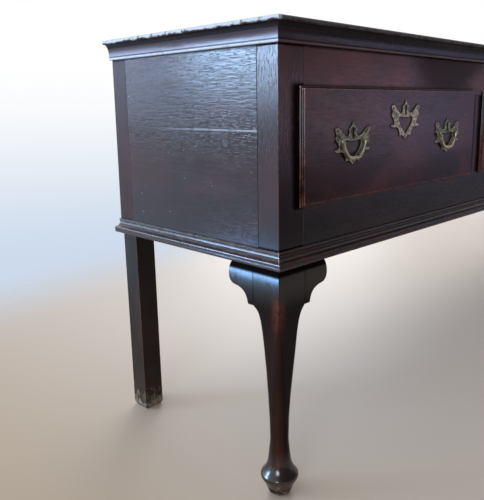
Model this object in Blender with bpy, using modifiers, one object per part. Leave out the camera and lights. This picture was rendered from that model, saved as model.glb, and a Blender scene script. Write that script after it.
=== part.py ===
"""Oak dresser base: three lipped drawers in a row, cabriole front legs with ears, square rear legs.

Metres, +Z up. The front faces -Y, and the origin is on the floor under the middle of the piece.
"""

import math

import bmesh
import bpy
from mathutils import Matrix

# Clearances
GAP = 0.0003            # between timbers that touch, and in every joint
DRAWER_PLAY = 0.001     # each side of a drawer in its opening
DRAWER_HEADROOM = 0.004
DRAWER_REAR_PLAY = 0.020
PIN_PLAY = 0.00025      # round a bail's pin in its post

# Case
CASE_DEPTH = 0.473
CASE_BOTTOM = 0.4186
OPENING_WIDTH = 0.6105
OPENING_HEIGHT = 0.1871
MUNTIN_WIDTH = 0.078
MUNTIN_THICKNESS = 0.022
TOP_RAIL_HEIGHT = 0.0989
BOTTOM_RAIL_HEIGHT = 0.1014
RAIL_THICKNESS = 0.024
TENON_THICKNESS = 0.009
TENON_LENGTH = 0.022
TENON_SHOULDER = 0.014
END_BOARD_THICKNESS = 0.018
LOWER_BOARD_HEIGHT = 0.2272
FRONT_STILE = 0.047     # width of the front post that shows on the side
REAR_STILE = 0.046
BACK_THICKNESS = 0.012
BACK_REBATE = 0.016
DRAWER_NAMES = ("left", "middle", "right")
DIVISION_NAMES = ("left", "right")      # between one drawer and the next

# Top and mouldings
TOP_THICKNESS = 0.016
TOP_OVERHANG = 0.0220
NOSE_HEIGHT = 0.0085
CORNICE_HEIGHT = 0.023
COVE_TOP = 0.0168        # reach of the cove where it starts, under the nose
COVE_FOOT = 0.0070
CORNICE_BEAD = 0.006    # height of the bead under the cove
BASE_HEIGHT = 0.029
BASE_PROJECTION = 0.0169
BASE_NOSE = 0.0130
BASE_BEAD = 0.0065

# Legs
POST = 0.062            # front post, each way
LEG_FACE = 0.068        # block under the case, across the front
FOOT_INSET = 0.0066     # foot centre inside the case's front and side faces
FOOT_WIDTH = 0.0680
FOOT_HEIGHT = 0.104     # up to the ankle
ANKLE = 0.033
POST_ROUNDING = 0.03    # of the post's arrises, as a share of its half width
EAR_LENGTH = 0.0625
EAR_DROP = 0.0780
EAR_STEP = 0.0137
EAR_THICKNESS = 0.024
REAR_LEG = 0.0465       # across the front of the rear leg
REAR_LEG_INSET = 0.005
REAR_LEG_LEAN = 0.004
REAR_LEG_WEAR = 0.003
REAR_POST_LAP = 0.012   # rear post behind the end boards

# Runners and kickers
RUNNER_BEARING = 0.022
RUNNER_HEIGHT = 0.028
GUIDE_HEIGHT = 0.022
KICKER_HEIGHT = 0.026

# Drawers
LIP = 0.0115            # overlap on the case at the sides and top
LIP_BELOW = 0.004
LIP_EDGE = 0.002
OVOLO = 0.002
FILLET = 0.0023
DRAWER_PROUD = 0.009
FRONT_BLOCK = 0.014     # drawer front behind the case's face
SIDE_THICKNESS = 0.010
DRAWER_BACK = 0.010
BOTTOM_THICKNESS = 0.008
BOTTOM_LAP = 0.005
TAIL_LENGTH = 0.010
TAILS = 3
TAIL_SHARE = 0.66       # tail width at its tip over the pitch
TAIL_SLOPE = 0.22
BACK_BELOW_TOP = 0.012  # drawer back below the top edge of the sides

# Brass
PLATE_THICKNESS = 0.0018
HANDLE_SPREAD = 0.357   # between the two handles of a drawer
PIVOT_RISE = 0.0051     # bails' axis above the middle of the drawer front
ESCUTCHEON_FALL = 0.0578    # escutcheon's middle below the front's upper edge
BAIL_SPAN = 0.0772      # between the two posts of a handle
STUD_REACH = 0.005      # bail's axis in front of the plate
STUD_HEAD = 0.0040
STUD_NECK = 0.0026
STUD_COLLAR = 0.0048
PIN_RADIUS = 0.0015
BAIL_ARM = 0.0020
BAIL_GRIP = 0.0030
BAIL_DROP = 0.0290
KEYHOLE_RADIUS = 0.0027
KEYHOLE_SLOT = 0.0013

# Places that follow from the sizes
CASE_WIDTH = 2 * POST + len(DRAWER_NAMES) * OPENING_WIDTH + len(DIVISION_NAMES) * MUNTIN_WIDTH
HALF_WIDTH = CASE_WIDTH / 2
OPENING_BOTTOM = CASE_BOTTOM + BOTTOM_RAIL_HEIGHT
OPENING_TOP = OPENING_BOTTOM + OPENING_HEIGHT
CASE_TOP = OPENING_TOP + TOP_RAIL_HEIGHT
OVERALL_HEIGHT = CASE_TOP + TOP_THICKNESS
COVE_HEIGHT = TOP_THICKNESS + CORNICE_HEIGHT - CORNICE_BEAD - NOSE_HEIGHT
DRAWER_PITCH = OPENING_WIDTH + MUNTIN_WIDTH
FRONT_WIDTH = OPENING_WIDTH + 2 * LIP
FRONT_HEIGHT = OPENING_HEIGHT + LIP + LIP_BELOW
DRAWER_BASE = OPENING_BOTTOM - LIP_BELOW
PIVOT_HEIGHT = FRONT_HEIGHT / 2 + PIVOT_RISE
ESCUTCHEON_HEIGHT = FRONT_HEIGHT - ESCUTCHEON_FALL
PLATE_FACE = DRAWER_PROUD + GAP + PLATE_THICKNESS
HANDLE_REACH = PLATE_FACE + STUD_REACH + STUD_HEAD
FRONT_REACH = max(FOOT_WIDTH / 2 - FOOT_INSET, HANDLE_REACH, TOP_OVERHANG)
FRONT = (FRONT_REACH - CASE_DEPTH) / 2
BACK = FRONT + CASE_DEPTH
KNEE = CASE_BOTTOM - EAR_DROP

# A flat outline is drawn in XY with its thickness along Z, then stood up facing the front or the side.
FACE_FRONT = Matrix(((1, 0, 0, 0), (0, 0, -1, 0), (0, 1, 0, 0), (0, 0, 0, 1)))
FACE_SIDE = Matrix(((0, 0, 1, 0), (1, 0, 0, 0), (0, 1, 0, 0), (0, 0, 0, 1)))

# Foot's outline: share of its swell beyond the ankle and share of its height, as a worn base and curves
FOOT_BASE = ((0.0, 0.0), (0.24, 0.038), (0.34, 0.087))
FOOT_CURVES = (
    ((0.34, 0.087), (0.40, 0.14), (0.80, 0.24), (0.93, 0.288)),
    ((0.93, 0.288), (1.023, 0.312), (1.023, 0.342), (0.95, 0.368)),
    ((0.95, 0.368), (0.62, 0.43), (0.36, 0.50), (0.24, 0.61)),
    ((0.24, 0.61), (0.16, 0.72), (0.05, 0.85), (0.0, 1.0)),
)
FOOT_STEPS = 4
# Shank: share of the way up from ankle to knee, share of the widening from ankle to block on the front and on
# the side, rounding as a share of the half width (1 is round), and how far the outer faces follow the case
SHANK = (
    (0.155, 0.057, 0.030, 0.96, 0.45), (0.328, 0.177, 0.085, 0.80, 0.70), (0.506, 0.346, 0.190, 0.65, 0.90),
    (0.670, 0.486, 0.310, 0.49, 1.0), (0.806, 0.577, 0.421, 0.37, 1.0), (0.894, 0.657, 0.510, 0.25, 1.0),
    (0.945, 0.763, 0.620, 0.165, 1.0), (0.977, 0.886, 0.780, 0.10, 1.0),
)
CORNER_POINTS = 6       # of a leg's section

# Ear's curves beside the block, as shares of its length and drop, with the steps of each
EAR_CURVES = (
    (((0.75, 0.0), (0.91, 0.05), (1.0, 0.22), (1.0, 0.39)), 7),
    (((1.0, 0.39), (1.0, 0.52), (0.90, 0.60), (0.78, 0.615)), 5),
)
EAR_OGEE = ((0.58, 0.64), (0.28, 0.66))     # middle points of the curve from the last of these to the step
EAR_OGEE_STEPS = 8

# Bail's curves on the right, as shares of the arm's distance from the middle and of the drop
BAIL_ARM_CURVE = ((0.98, 0.30), (0.88, 0.48), (0.78, 0.66))
BAIL_DROP_CURVE = ((0.70, 0.80), (0.56, 1.0), (0.34, 1.0))
BAIL_STEPS = 5
STUD_SIDES = 10

# Right half of a pierced plate, in millimetres from the handle's axis, from the top spike to the lower point
PLATE_HALF = (
    (0.0, 34.5), (2.4, 29.5), (6.0, 26.4), (12.6, 21.5), (10.6, 15.5), (12.5, 10.5), (18.5, 8.2),
    (25.0, 10.6), (32.0, 15.2), (38.5, 20.8), (45.0, 25.0), (53.0, 23.0), (51.5, 16.8), (48.0, 12.0),
    (52.2, 6.6), (48.5, 1.8), (43.5, -2.6), (41.0, -8.0), (41.6, -12.4), (54.0, -14.4), (51.5, -17.4),
    (43.0, -18.2), (35.0, -17.6), (28.6, -19.6), (24.6, -23.4), (21.4, -28.4), (19.6, -35.6),
    (13.0, -33.4), (6.0, -37.0), (0.0, -41.5),
)
# Right half of the shield that is pierced through it
SHIELD_HALF = ((0.0, 1.6), (8.0, 0.8), (17.0, 3.0), (26.5, 1.6), (25.6, -5.6), (21.8, -12.8), (15.6, -19.2),
               (9.0, -25.0), (4.0, -30.2), (0.0, -33.6))
WING_HOLE = (45.4, 18.8, 2.3)
KEYHOLE_TOP = 0.0215
KEYHOLE_FOOT = 0.0070
MM = 0.001


def clear_scene():
    for thing in list(bpy.data.objects):
        bpy.data.objects.remove(thing, do_unlink=True)


def collection(name):
    made = bpy.data.collections.new(name)
    bpy.context.scene.collection.children.link(made)
    return made


def material(name, colour, roughness, metallic):
    made = bpy.data.materials.new(name)
    made.use_nodes = True
    shader = made.node_tree.nodes["Principled BSDF"]
    shader.inputs["Base Color"].default_value = (*colour, 1.0)
    shader.inputs["Roughness"].default_value = roughness
    shader.inputs["Metallic"].default_value = metallic
    return made


clear_scene()
PARTS = collection("dresser_base")
CUTTERS = collection("cutters")
CASE_OAK = material("case_oak", (0.050, 0.022, 0.017), 0.32, 0.0)
DRAWER_OAK = material("drawer_oak", (0.060, 0.022, 0.018), 0.30, 0.0)
INNER_OAK = material("inner_oak", (0.230, 0.140, 0.080), 0.65, 0.0)
BRASS = material("aged_brass", (0.330, 0.260, 0.120), 0.38, 1.0)


def as_mesh(shape, name):
    """The finished bmesh as mesh data, faces outward, round stretches shaded smooth."""
    bmesh.ops.recalc_face_normals(shape, faces=shape.faces)
    data = bpy.data.meshes.new(name)
    shape.to_mesh(data)
    shape.free()
    data.shade_smooth()
    data.set_sharp_from_angle(angle=math.radians(35))
    return data


def part(name, data, finish, parent=None, place=(0.0, 0.0, 0.0)):
    if not data.materials:
        data.materials.append(finish)
    made = bpy.data.objects.new(name, data)
    PARTS.objects.link(made)
    made.parent = parent
    made.location = place
    return made


def box(*spans):
    """A block between two values on each of X, Y and Z, given in either order."""
    size = [abs(b - a) for a, b in spans]
    middle = [(a + b) / 2 for a, b in spans]
    shape = bmesh.new()
    bmesh.ops.create_cube(shape, size=1.0, matrix=Matrix.Translation(middle) @ Matrix.Diagonal((*size, 1.0)))
    return shape


def loft(rings):
    """A closed skin through rings of equally many points, capped flat at both ends."""
    shape = bmesh.new()
    loops = [[shape.verts.new(point) for point in ring] for ring in rings]
    for lower, upper in zip(loops, loops[1:]):
        for here in range(len(lower)):
            beyond = (here + 1) % len(lower)
            shape.faces.new((lower[here], lower[beyond], upper[beyond], upper[here]))
    shape.faces.new(loops[0])
    shape.faces.new(loops[-1])
    return shape


def evaluated_shape(guide):
    """The bmesh of an object with its modifiers applied, and the object removed."""
    graph = bpy.context.evaluated_depsgraph_get()
    data = bpy.data.meshes.new_from_object(guide.evaluated_get(graph))
    shape = bmesh.new()
    shape.from_mesh(data)
    bpy.data.meshes.remove(data)
    bpy.data.objects.remove(guide, do_unlink=True)
    bmesh.ops.remove_doubles(shape, verts=shape.verts, dist=1e-6)
    return shape


def prism(outlines, thickness, stand=FACE_FRONT):
    """A plate of the first outline, pierced by the others, stood up with its back at zero."""
    curve = bpy.data.curves.new("outline", "CURVE")
    curve.dimensions = "2D"
    curve.fill_mode = "BOTH"
    curve.extrude = thickness / 2
    for outline in outlines:
        spline = curve.splines.new("POLY")
        spline.points.add(len(outline) - 1)
        for point, (u, v) in zip(spline.points, outline):
            point.co = (u, v, 0.0, 1.0)
        spline.use_cyclic_u = True
    guide = bpy.data.objects.new("outline", curve)
    CUTTERS.objects.link(guide)
    shape = evaluated_shape(guide)
    lift = Matrix.Translation((0.0, 0.0, thickness / 2))
    bmesh.ops.transform(shape, matrix=stand @ lift, verts=shape.verts)
    return shape


def turned(profile, sides):
    """A turned piece from (radius, height) points, listed from top to bottom, about Z."""
    data = bpy.data.meshes.new("profile")
    points = [(radius, 0.0, height) for radius, height in profile]
    data.from_pydata(points, [(k, k + 1) for k in range(len(points) - 1)], [])
    guide = bpy.data.objects.new("profile", data)
    CUTTERS.objects.link(guide)
    screw = guide.modifiers.new("turn", "SCREW")
    screw.steps = sides
    screw.render_steps = sides
    screw.use_merge_vertices = True
    screw.merge_threshold = 0.00001
    return evaluated_shape(guide)


def moved(shape, x=0.0, y=0.0, z=0.0):
    bmesh.ops.translate(shape, vec=(x, y, z), verts=shape.verts)
    return shape


def combined(*shapes):
    """Several shapes in one bmesh, as separate bodies, for use as one cutter."""
    data = bpy.data.meshes.new("bodies")
    whole = bmesh.new()
    for shape in shapes:
        bmesh.ops.recalc_face_normals(shape, faces=shape.faces)
        shape.to_mesh(data)
        shape.free()
        whole.from_mesh(data)
    bpy.data.meshes.remove(data)
    return whole


def work(target, operation, tool):
    """Adds a Boolean to an object, with a hidden tool made from a bmesh."""
    cutter = bpy.data.objects.new(target.name + "_tool", as_mesh(tool, "tool"))
    CUTTERS.objects.link(cutter)
    cutter.hide_render = True
    cutter.display_type = "WIRE"
    boolean = target.modifiers.new(operation.lower(), "BOOLEAN")
    boolean.operation = operation
    boolean.object = cutter


def cut(target, tool):
    work(target, "DIFFERENCE", tool)


def add(target, tool):
    work(target, "UNION", tool)


def shared(shape, name, cuts=(), adds=()):
    """Mesh data with Booleans applied, for a piece that is used several times."""
    pattern = bpy.data.objects.new(name, as_mesh(shape, name))
    CUTTERS.objects.link(pattern)
    for tool in adds:
        add(pattern, tool)
    for tool in cuts:
        cut(pattern, tool)
    tools = [modifier.object for modifier in pattern.modifiers]
    result = as_mesh(evaluated_shape(pattern), name)
    for tool in tools:
        bpy.data.objects.remove(tool, do_unlink=True)
    return result


def tenon(piece, host, *spans):
    """A tenon added to one timber, and its mortise cut in another with a gap all round."""
    add(piece, box(*spans))
    cut(host, box(*[(min(span) - GAP, max(span) + GAP) for span in spans]))


def arc(u, v, radius_u, radius_v, start, end, steps):
    """Points on an ellipse, with the angles in degrees."""
    angles = [math.radians(start + (end - start) * k / steps) for k in range(steps + 1)]
    return [(u + radius_u * math.cos(a), v + radius_v * math.sin(a)) for a in angles]


def bezier(a, b, c, d, steps):
    """Points on a cubic curve after its first point."""
    points = []
    for k in range(1, steps + 1):
        t = k / steps
        s = 1 - t
        weights = (s * s * s, 3 * s * s * t, 3 * s * t * t, t * t * t)
        points.append(tuple(sum(w * p[axis] for w, p in zip(weights, (a, b, c, d))) for axis in (0, 1)))
    return points


def mirrored(half):
    """A closed outline from its right half, whose first and last points are on the middle line."""
    return list(half) + [(-u, v) for u, v in reversed(half[1:-1])]


def rectangle_ring(half_x, y_front, y_back, z):
    return [(-half_x, y_front, z), (half_x, y_front, z), (half_x, y_back, z), (-half_x, y_back, z)]


# Top board and mouldings

def cove(upper, lower, steps):
    """(reach, height) points of the cove between two depths under the top's upper face.

    One cove runs from the lower edge of the top board on down the cornice.
    """
    foot = NOSE_HEIGHT + COVE_HEIGHT
    angles = [math.degrees(math.asin(min(1.0, (foot - depth) / COVE_HEIGHT))) for depth in (upper, lower)]
    return arc(COVE_TOP, -foot, COVE_FOOT - COVE_TOP, COVE_HEIGHT, *angles, steps)


def top_board():
    edge = arc(TOP_OVERHANG - NOSE_HEIGHT / 2, -NOSE_HEIGHT / 2, NOSE_HEIGHT / 2, NOSE_HEIGHT / 2, 90, -90, 6)
    edge += cove(NOSE_HEIGHT, TOP_THICKNESS, 3)
    rings = []
    for reach, drop in edge:
        rings.append(rectangle_ring(HALF_WIDTH + reach, FRONT - reach, BACK, OVERALL_HEIGHT + drop))
    part("top_board", as_mesh(loft(rings), "top_board"), CASE_OAK)


def cornice_profile():
    """(reach, height) points of the cove and bead under the top."""
    bead = CORNICE_BEAD / 2
    bottom = -TOP_THICKNESS - CORNICE_HEIGHT
    points = [(GAP, -TOP_THICKNESS - GAP)]
    points += cove(TOP_THICKNESS + GAP, NOSE_HEIGHT + COVE_HEIGHT, 5)
    points += arc(COVE_FOOT - bead / 2, bottom + bead, bead, bead, 80, -90, 5)
    points.append((GAP, bottom))
    return [(reach, OVERALL_HEIGHT + drop) for reach, drop in points]


def base_profile():
    """(reach, height) points of the bead, hollow and nose round the foot of the case."""
    bead = BASE_BEAD / 2
    nose_top = BASE_NOSE - BASE_HEIGHT
    hollow = BASE_HEIGHT - BASE_NOSE - BASE_BEAD
    neck = bead
    shelf = BASE_PROJECTION - BASE_NOSE / 3
    corner = BASE_NOSE / 4
    points = [(GAP, 0.0)]
    points += arc(bead / 2, -bead, bead, bead, 90, -80, 5)
    points += arc(shelf, -BASE_BEAD, neck - shelf, -hollow, 0, 90, 5)
    points += arc(BASE_PROJECTION - corner, nose_top - corner, corner, corner, 90, 0, 2)
    points += arc(BASE_PROJECTION - corner, corner - BASE_HEIGHT, corner, corner, 0, -90, 2)
    points.append((GAP, -BASE_HEIGHT))
    return [(reach, CASE_BOTTOM + BASE_HEIGHT + drop) for reach, drop in points]


def moulding(name, profile):
    """Front length with a mitre at each corner, and two returns that end flush with the back."""
    front = []
    for side in (-1, 1):
        front.append([(side * (HALF_WIDTH + reach - GAP), FRONT - reach, z) for reach, z in profile])
    part(name + "_front", as_mesh(loft(front), name), CASE_OAK)
    for side, word in ((-1, "left"), (1, "right")):
        mitre = [(side * (HALF_WIDTH + reach), FRONT - reach + GAP, z) for reach, z in profile]
        square = [(side * (HALF_WIDTH + reach), BACK, z) for reach, z in profile]
        part(name + "_" + word, as_mesh(loft([mitre, square]), name), CASE_OAK)


# Legs

def leg_ring(z, face, flank, insets, rounding, side):
    """A rectangular section with round corners, up to an ellipse, set in from the case's two faces.

    Its width is given across the front and across the side; the insets of its middle likewise.
    """
    spread = rounding / math.cos(math.radians(45 / CORNER_POINTS))
    points = []
    for corner, (x, y) in enumerate(((1, 1), (-1, 1), (-1, -1), (1, -1))):
        for k in range(CORNER_POINTS):
            turn = math.radians(90 * (corner + (k + 0.5) / CORNER_POINTS))
            across = face / 2 * (x * (1 - rounding) + spread * math.cos(turn))
            deep = flank / 2 * (y * (1 - rounding) + spread * math.sin(turn))
            points.append((side * (HALF_WIDTH - insets[0] - across), FRONT + insets[1] + deep, z))
    return points


def front_leg(word, side):
    """Post, wider block, tapering shank and pad foot of one timber."""
    foot = list(FOOT_BASE)
    for curve in FOOT_CURVES:
        foot += bezier(*curve, FOOT_STEPS)
    rings = []
    for swell, height in foot:
        width = ANKLE + swell * (FOOT_WIDTH - ANKLE)
        rings.append(leg_ring(height * FOOT_HEIGHT, width, width, (FOOT_INSET, FOOT_INSET), 1.0, side))
    for share, front_widening, side_widening, rounding, follow in SHANK:
        face = ANKLE + front_widening * (LEG_FACE - ANKLE)
        flank = ANKLE + side_widening * (POST - ANKLE)
        insets = [FOOT_INSET + follow * (width / 2 - FOOT_INSET) for width in (face, flank)]
        height = FOOT_HEIGHT + share * (KNEE - FOOT_HEIGHT)
        rings.append(leg_ring(height, face, flank, insets, rounding, side))
    for height in (KNEE, CASE_TOP - GAP):
        rings.append(leg_ring(height, LEG_FACE, POST, (LEG_FACE / 2, POST / 2), POST_ROUNDING, side))
    leg = part("front_leg_" + word, as_mesh(loft(rings), "front_leg"), CASE_OAK)
    outside = side * (HALF_WIDTH + GAP)
    inside = side * (HALF_WIDTH - END_BOARD_THICKNESS - GAP)
    lap = (FRONT + FRONT_STILE, FRONT + POST + GAP)
    upper = (CASE_BOTTOM - GAP, CASE_TOP + GAP)
    cut(leg, box((outside, inside), lap, upper))
    shoulder = (side * (HALF_WIDTH - POST), side * (HALF_WIDTH - LEG_FACE - GAP))
    cut(leg, box(shoulder, (FRONT - GAP, FRONT + POST + GAP), upper))
    return leg


def rear_leg(word, side):
    """Square leg and post, worn at the floor, with rebates for the end boards and the back."""
    post_front = BACK - REAR_STILE - REAR_POST_LAP
    stations = (
        (0.0, REAR_LEG_INSET + REAR_LEG_LEAN, REAR_LEG_WEAR, BACK - REAR_STILE),
        (2 * REAR_LEG_WEAR, REAR_LEG_INSET + REAR_LEG_LEAN, 0.0, BACK - REAR_STILE),
        (CASE_BOTTOM - GAP, REAR_LEG_INSET, 0.0, BACK - REAR_STILE),
        (CASE_BOTTOM, 0.0, 0.0, post_front),
        (CASE_TOP - GAP, 0.0, 0.0, post_front),
    )
    rings = []
    for z, inset, wear, y_front in stations:
        x_out = side * (HALF_WIDTH - inset - wear)
        x_in = side * (HALF_WIDTH - inset - REAR_LEG + wear)
        y_in, y_out = y_front + wear, BACK - wear
        rings.append([(x_out, y_in, z), (x_in, y_in, z), (x_in, y_out, z), (x_out, y_out, z)])
    leg = part("rear_leg_" + word, as_mesh(loft(rings), "rear_leg"), CASE_OAK)
    outside = side * (HALF_WIDTH + GAP)
    inside = side * (HALF_WIDTH - END_BOARD_THICKNESS - GAP)
    lap = (post_front - GAP, BACK - REAR_STILE)
    cut(leg, box((outside, inside), lap, (CASE_BOTTOM - 2 * GAP, CASE_TOP + GAP)))
    rebate = (side * (HALF_WIDTH - REAR_LEG + BACK_REBATE), side * (HALF_WIDTH - REAR_LEG - GAP))
    behind = (BACK - BACK_THICKNESS - GAP, BACK + GAP)
    cut(leg, box(rebate, behind, (CASE_BOTTOM - 2 * GAP, CASE_TOP + GAP)))


def ear_outline():
    """Ear beside the block: straight top, round lobe, ogee and a small square step."""
    drop = EAR_DROP - GAP
    points = [(GAP, 0.0)]
    for curve, steps in EAR_CURVES:
        placed = [(u * EAR_LENGTH, -v * drop) for u, v in curve]
        points += placed[:1] + bezier(*placed, steps)[:-1]
    ogee = [placed[-1]] + [(u * EAR_LENGTH, -v * drop) for u, v in EAR_OGEE] + [(EAR_STEP, -drop)]
    points += ogee[:1] + bezier(*ogee, EAR_OGEE_STEPS)
    points.append((GAP, -drop))
    return points


def ears(word, side):
    """Two ears, glued to the front leg's block and flush with its outer faces."""
    outline = ear_outline()
    along_front = [(-side * u, v) for u, v in outline]
    shape = prism([along_front], EAR_THICKNESS)
    edge = side * (HALF_WIDTH - LEG_FACE)
    moved(shape, edge, FRONT + EAR_THICKNESS, CASE_BOTTOM - GAP)
    part("ear_" + word + "_front", as_mesh(shape, "ear"), CASE_OAK)
    shape = prism([outline], EAR_THICKNESS, FACE_SIDE)
    x = -HALF_WIDTH if side < 0 else HALF_WIDTH - EAR_THICKNESS
    moved(shape, x, FRONT + POST, CASE_BOTTOM - GAP)
    part("ear_" + word + "_side", as_mesh(shape, "ear"), CASE_OAK)


# Case

def rail(name, low, high, legs):
    """Front rail between the posts, with a tenon into each."""
    ends = HALF_WIDTH - POST - GAP
    shape = box((-ends, ends), (FRONT, FRONT + RAIL_THICKNESS), (low, high))
    made = part(name, as_mesh(shape, name), CASE_OAK)
    middle = FRONT + RAIL_THICKNESS / 2
    thickness = (middle - TENON_THICKNESS / 2, middle + TENON_THICKNESS / 2)
    height = (low + TENON_SHOULDER, high - TENON_SHOULDER)
    for side, leg in zip((-1, 1), legs):
        length = (side * (ends - TENON_LENGTH / 2), side * (ends + TENON_LENGTH))
        tenon(made, leg, length, thickness, height)
    return made


def divisions():
    """Name and middle of each place between two drawers."""
    first = -DRAWER_PITCH * (len(DIVISION_NAMES) - 1) / 2
    return [(word, first + k * DRAWER_PITCH) for k, word in enumerate(DIVISION_NAMES)]


def muntin(word, x, rails):
    """Upright between two openings, with a tenon into each rail."""
    low, high = OPENING_BOTTOM + GAP, OPENING_TOP - GAP
    half = MUNTIN_WIDTH / 2
    shape = box((x - half, x + half), (FRONT, FRONT + MUNTIN_THICKNESS), (low, high))
    made = part("muntin_" + word, as_mesh(shape, "muntin"), CASE_OAK)
    middle = FRONT + MUNTIN_THICKNESS / 2
    thickness = (middle - TENON_THICKNESS / 2, middle + TENON_THICKNESS / 2)
    width = (x - half + TENON_SHOULDER, x + half - TENON_SHOULDER)
    tenon(made, rails[0], width, thickness, (high - TENON_LENGTH / 2, high + TENON_LENGTH))
    tenon(made, rails[1], width, thickness, (low - TENON_LENGTH, low + TENON_LENGTH / 2))


def end_boards(word, side):
    """Two level boards that lie in the posts' rebates, flush with the outside."""
    thickness = (side * HALF_WIDTH, side * (HALF_WIDTH - END_BOARD_THICKNESS))
    length = (FRONT + FRONT_STILE + GAP, BACK - REAR_STILE - GAP)
    joint = CASE_BOTTOM + LOWER_BOARD_HEIGHT
    for level, low, high in (("lower", CASE_BOTTOM, joint - GAP), ("upper", joint, CASE_TOP - GAP)):
        name = "end_board_" + word + "_" + level
        part(name, as_mesh(box(thickness, length, (low, high)), name), CASE_OAK)


def back_board():
    half = HALF_WIDTH - REAR_LEG + BACK_REBATE - GAP
    depth = (BACK - BACK_THICKNESS, BACK)
    part("back_board", as_mesh(box((-half, half), depth, (CASE_BOTTOM, CASE_TOP - GAP)), "back"), INNER_OAK)


def runners_and_kickers():
    """Runners under the drawer sides, each with a guide beside them, and kickers over the inner ones."""
    top = OPENING_BOTTOM - GAP
    foot = top - RUNNER_HEIGHT
    guide = top + GUIDE_HEIGHT
    start, end = FRONT + RAIL_THICKNESS + GAP, BACK - BACK_THICKNESS - GAP
    inner = MUNTIN_WIDTH / 2 - DRAWER_PLAY
    wide = MUNTIN_WIDTH / 2 + RUNNER_BEARING
    section = [(-wide, foot), (wide, foot), (wide, top), (inner, top), (inner, guide), (-inner, guide),
               (-inner, top), (-wide, top)]
    kicker_top = OPENING_TOP + KICKER_HEIGHT
    for word, x in divisions():
        runner = moved(prism([section], end - start), x, end)
        part("runner_inner_" + word, as_mesh(runner, "runner"), INNER_OAK)
        kicker = box((x - wide, x + wide), (start, end), (OPENING_TOP, kicker_top))
        part("kicker_inner_" + word, as_mesh(kicker, "kicker"), INNER_OAK)
    wall = END_BOARD_THICKNESS + GAP
    shelf = POST + RUNNER_BEARING
    fence = POST - DRAWER_PLAY
    section = [(wall, foot), (shelf, foot), (shelf, top), (fence, top), (fence, guide), (wall, guide)]
    start, end = FRONT + POST + GAP, BACK - REAR_STILE - REAR_POST_LAP - GAP
    for side, word in ((-1, "left"), (1, "right")):
        outline = [(side * (HALF_WIDTH - u), v) for u, v in section]
        runner = moved(prism([outline], end - start), 0.0, end)
        part("runner_" + word, as_mesh(runner, "runner"), INNER_OAK)


# Drawers, in a frame whose origin is on the case's face, under the middle of the drawer front's lower edge

BOX_HALF = OPENING_WIDTH / 2 - DRAWER_PLAY
BOX_LOW = LIP_BELOW + GAP
BOX_HIGH = FRONT_HEIGHT - LIP - DRAWER_HEADROOM
BOX_END = CASE_DEPTH - BACK_THICKNESS - DRAWER_REAR_PLAY
FLOOR_TOP = BOX_LOW + BOTTOM_THICKNESS


def tails(shoulder, tip):
    """(middle, half width at the shoulder, half width at the tip) of each dovetail on a drawer side's end."""
    pitch = (BOX_HIGH - BOX_LOW) / TAILS
    wide = TAIL_SHARE * pitch / 2
    narrow = wide - TAIL_SLOPE * abs(tip - shoulder)
    return [(BOX_LOW + (k + 0.5) * pitch, narrow, wide) for k in range(TAILS)]


def side_outline():
    """Drawer side seen from the side, as (depth, height), with dovetails at both ends."""
    front_shoulder, front_tip = FRONT_BLOCK + GAP, FRONT_BLOCK - TAIL_LENGTH
    back_shoulder, back_tip = BOX_END - DRAWER_BACK - GAP, BOX_END
    points = [(back_shoulder, BOX_LOW)]
    for middle, narrow, wide in tails(back_shoulder, back_tip):
        points += [(back_shoulder, middle - narrow), (back_tip, middle - wide)]
        points += [(back_tip, middle + wide), (back_shoulder, middle + narrow)]
    points += [(back_shoulder, BOX_HIGH), (front_shoulder, BOX_HIGH)]
    for middle, narrow, wide in reversed(tails(front_shoulder, front_tip)):
        points += [(front_shoulder, middle + narrow), (front_tip, middle + wide)]
        points += [(front_tip, middle - wide), (front_shoulder, middle - narrow)]
    points.append((front_shoulder, BOX_LOW))
    return points


def sockets(shoulder, tip):
    """Cutter for the sockets of both sides' dovetails, with a gap all round them."""
    over = math.copysign(GAP, tip - shoulder)
    mouth, end = shoulder - 2 * over, tip + over
    thickness = SIDE_THICKNESS + 2 * GAP
    bodies = []
    for x in (-BOX_HALF - GAP, BOX_HALF + GAP - thickness):
        for middle, narrow, wide in tails(shoulder, tip):
            slope = (wide - narrow) / (tip - shoulder)
            outline = []
            for depth, sign in ((mouth, -1), (end, -1), (end, 1), (mouth, 1)):
                half = narrow + slope * (depth - shoulder) + GAP
                outline.append((depth, middle + sign * half))
            bodies.append(moved(prism([outline], thickness, FACE_SIDE), x))
    return combined(*bodies)


def floor_cutter():
    """The drawer bottom's rebate in the front and sides, open below and behind."""
    reach = BOX_HALF - SIDE_THICKNESS + BOTTOM_LAP + GAP
    start = FRONT_BLOCK - BOTTOM_LAP - GAP
    return box((-reach, reach), (start, BOX_END + BOTTOM_LAP), (BOX_LOW - BOTTOM_LAP, FLOOR_TOP + GAP))


def keyhole():
    """Round top and straight slot, about the handle plate's own middle."""
    slot_meets = math.degrees(math.asin(KEYHOLE_SLOT / KEYHOLE_RADIUS))
    round_part = arc(0.0, KEYHOLE_TOP, KEYHOLE_RADIUS, KEYHOLE_RADIUS, slot_meets - 90, 270 - slot_meets, 8)
    return round_part + [(-KEYHOLE_SLOT, KEYHOLE_FOOT), (KEYHOLE_SLOT, KEYHOLE_FOOT)]


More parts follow.
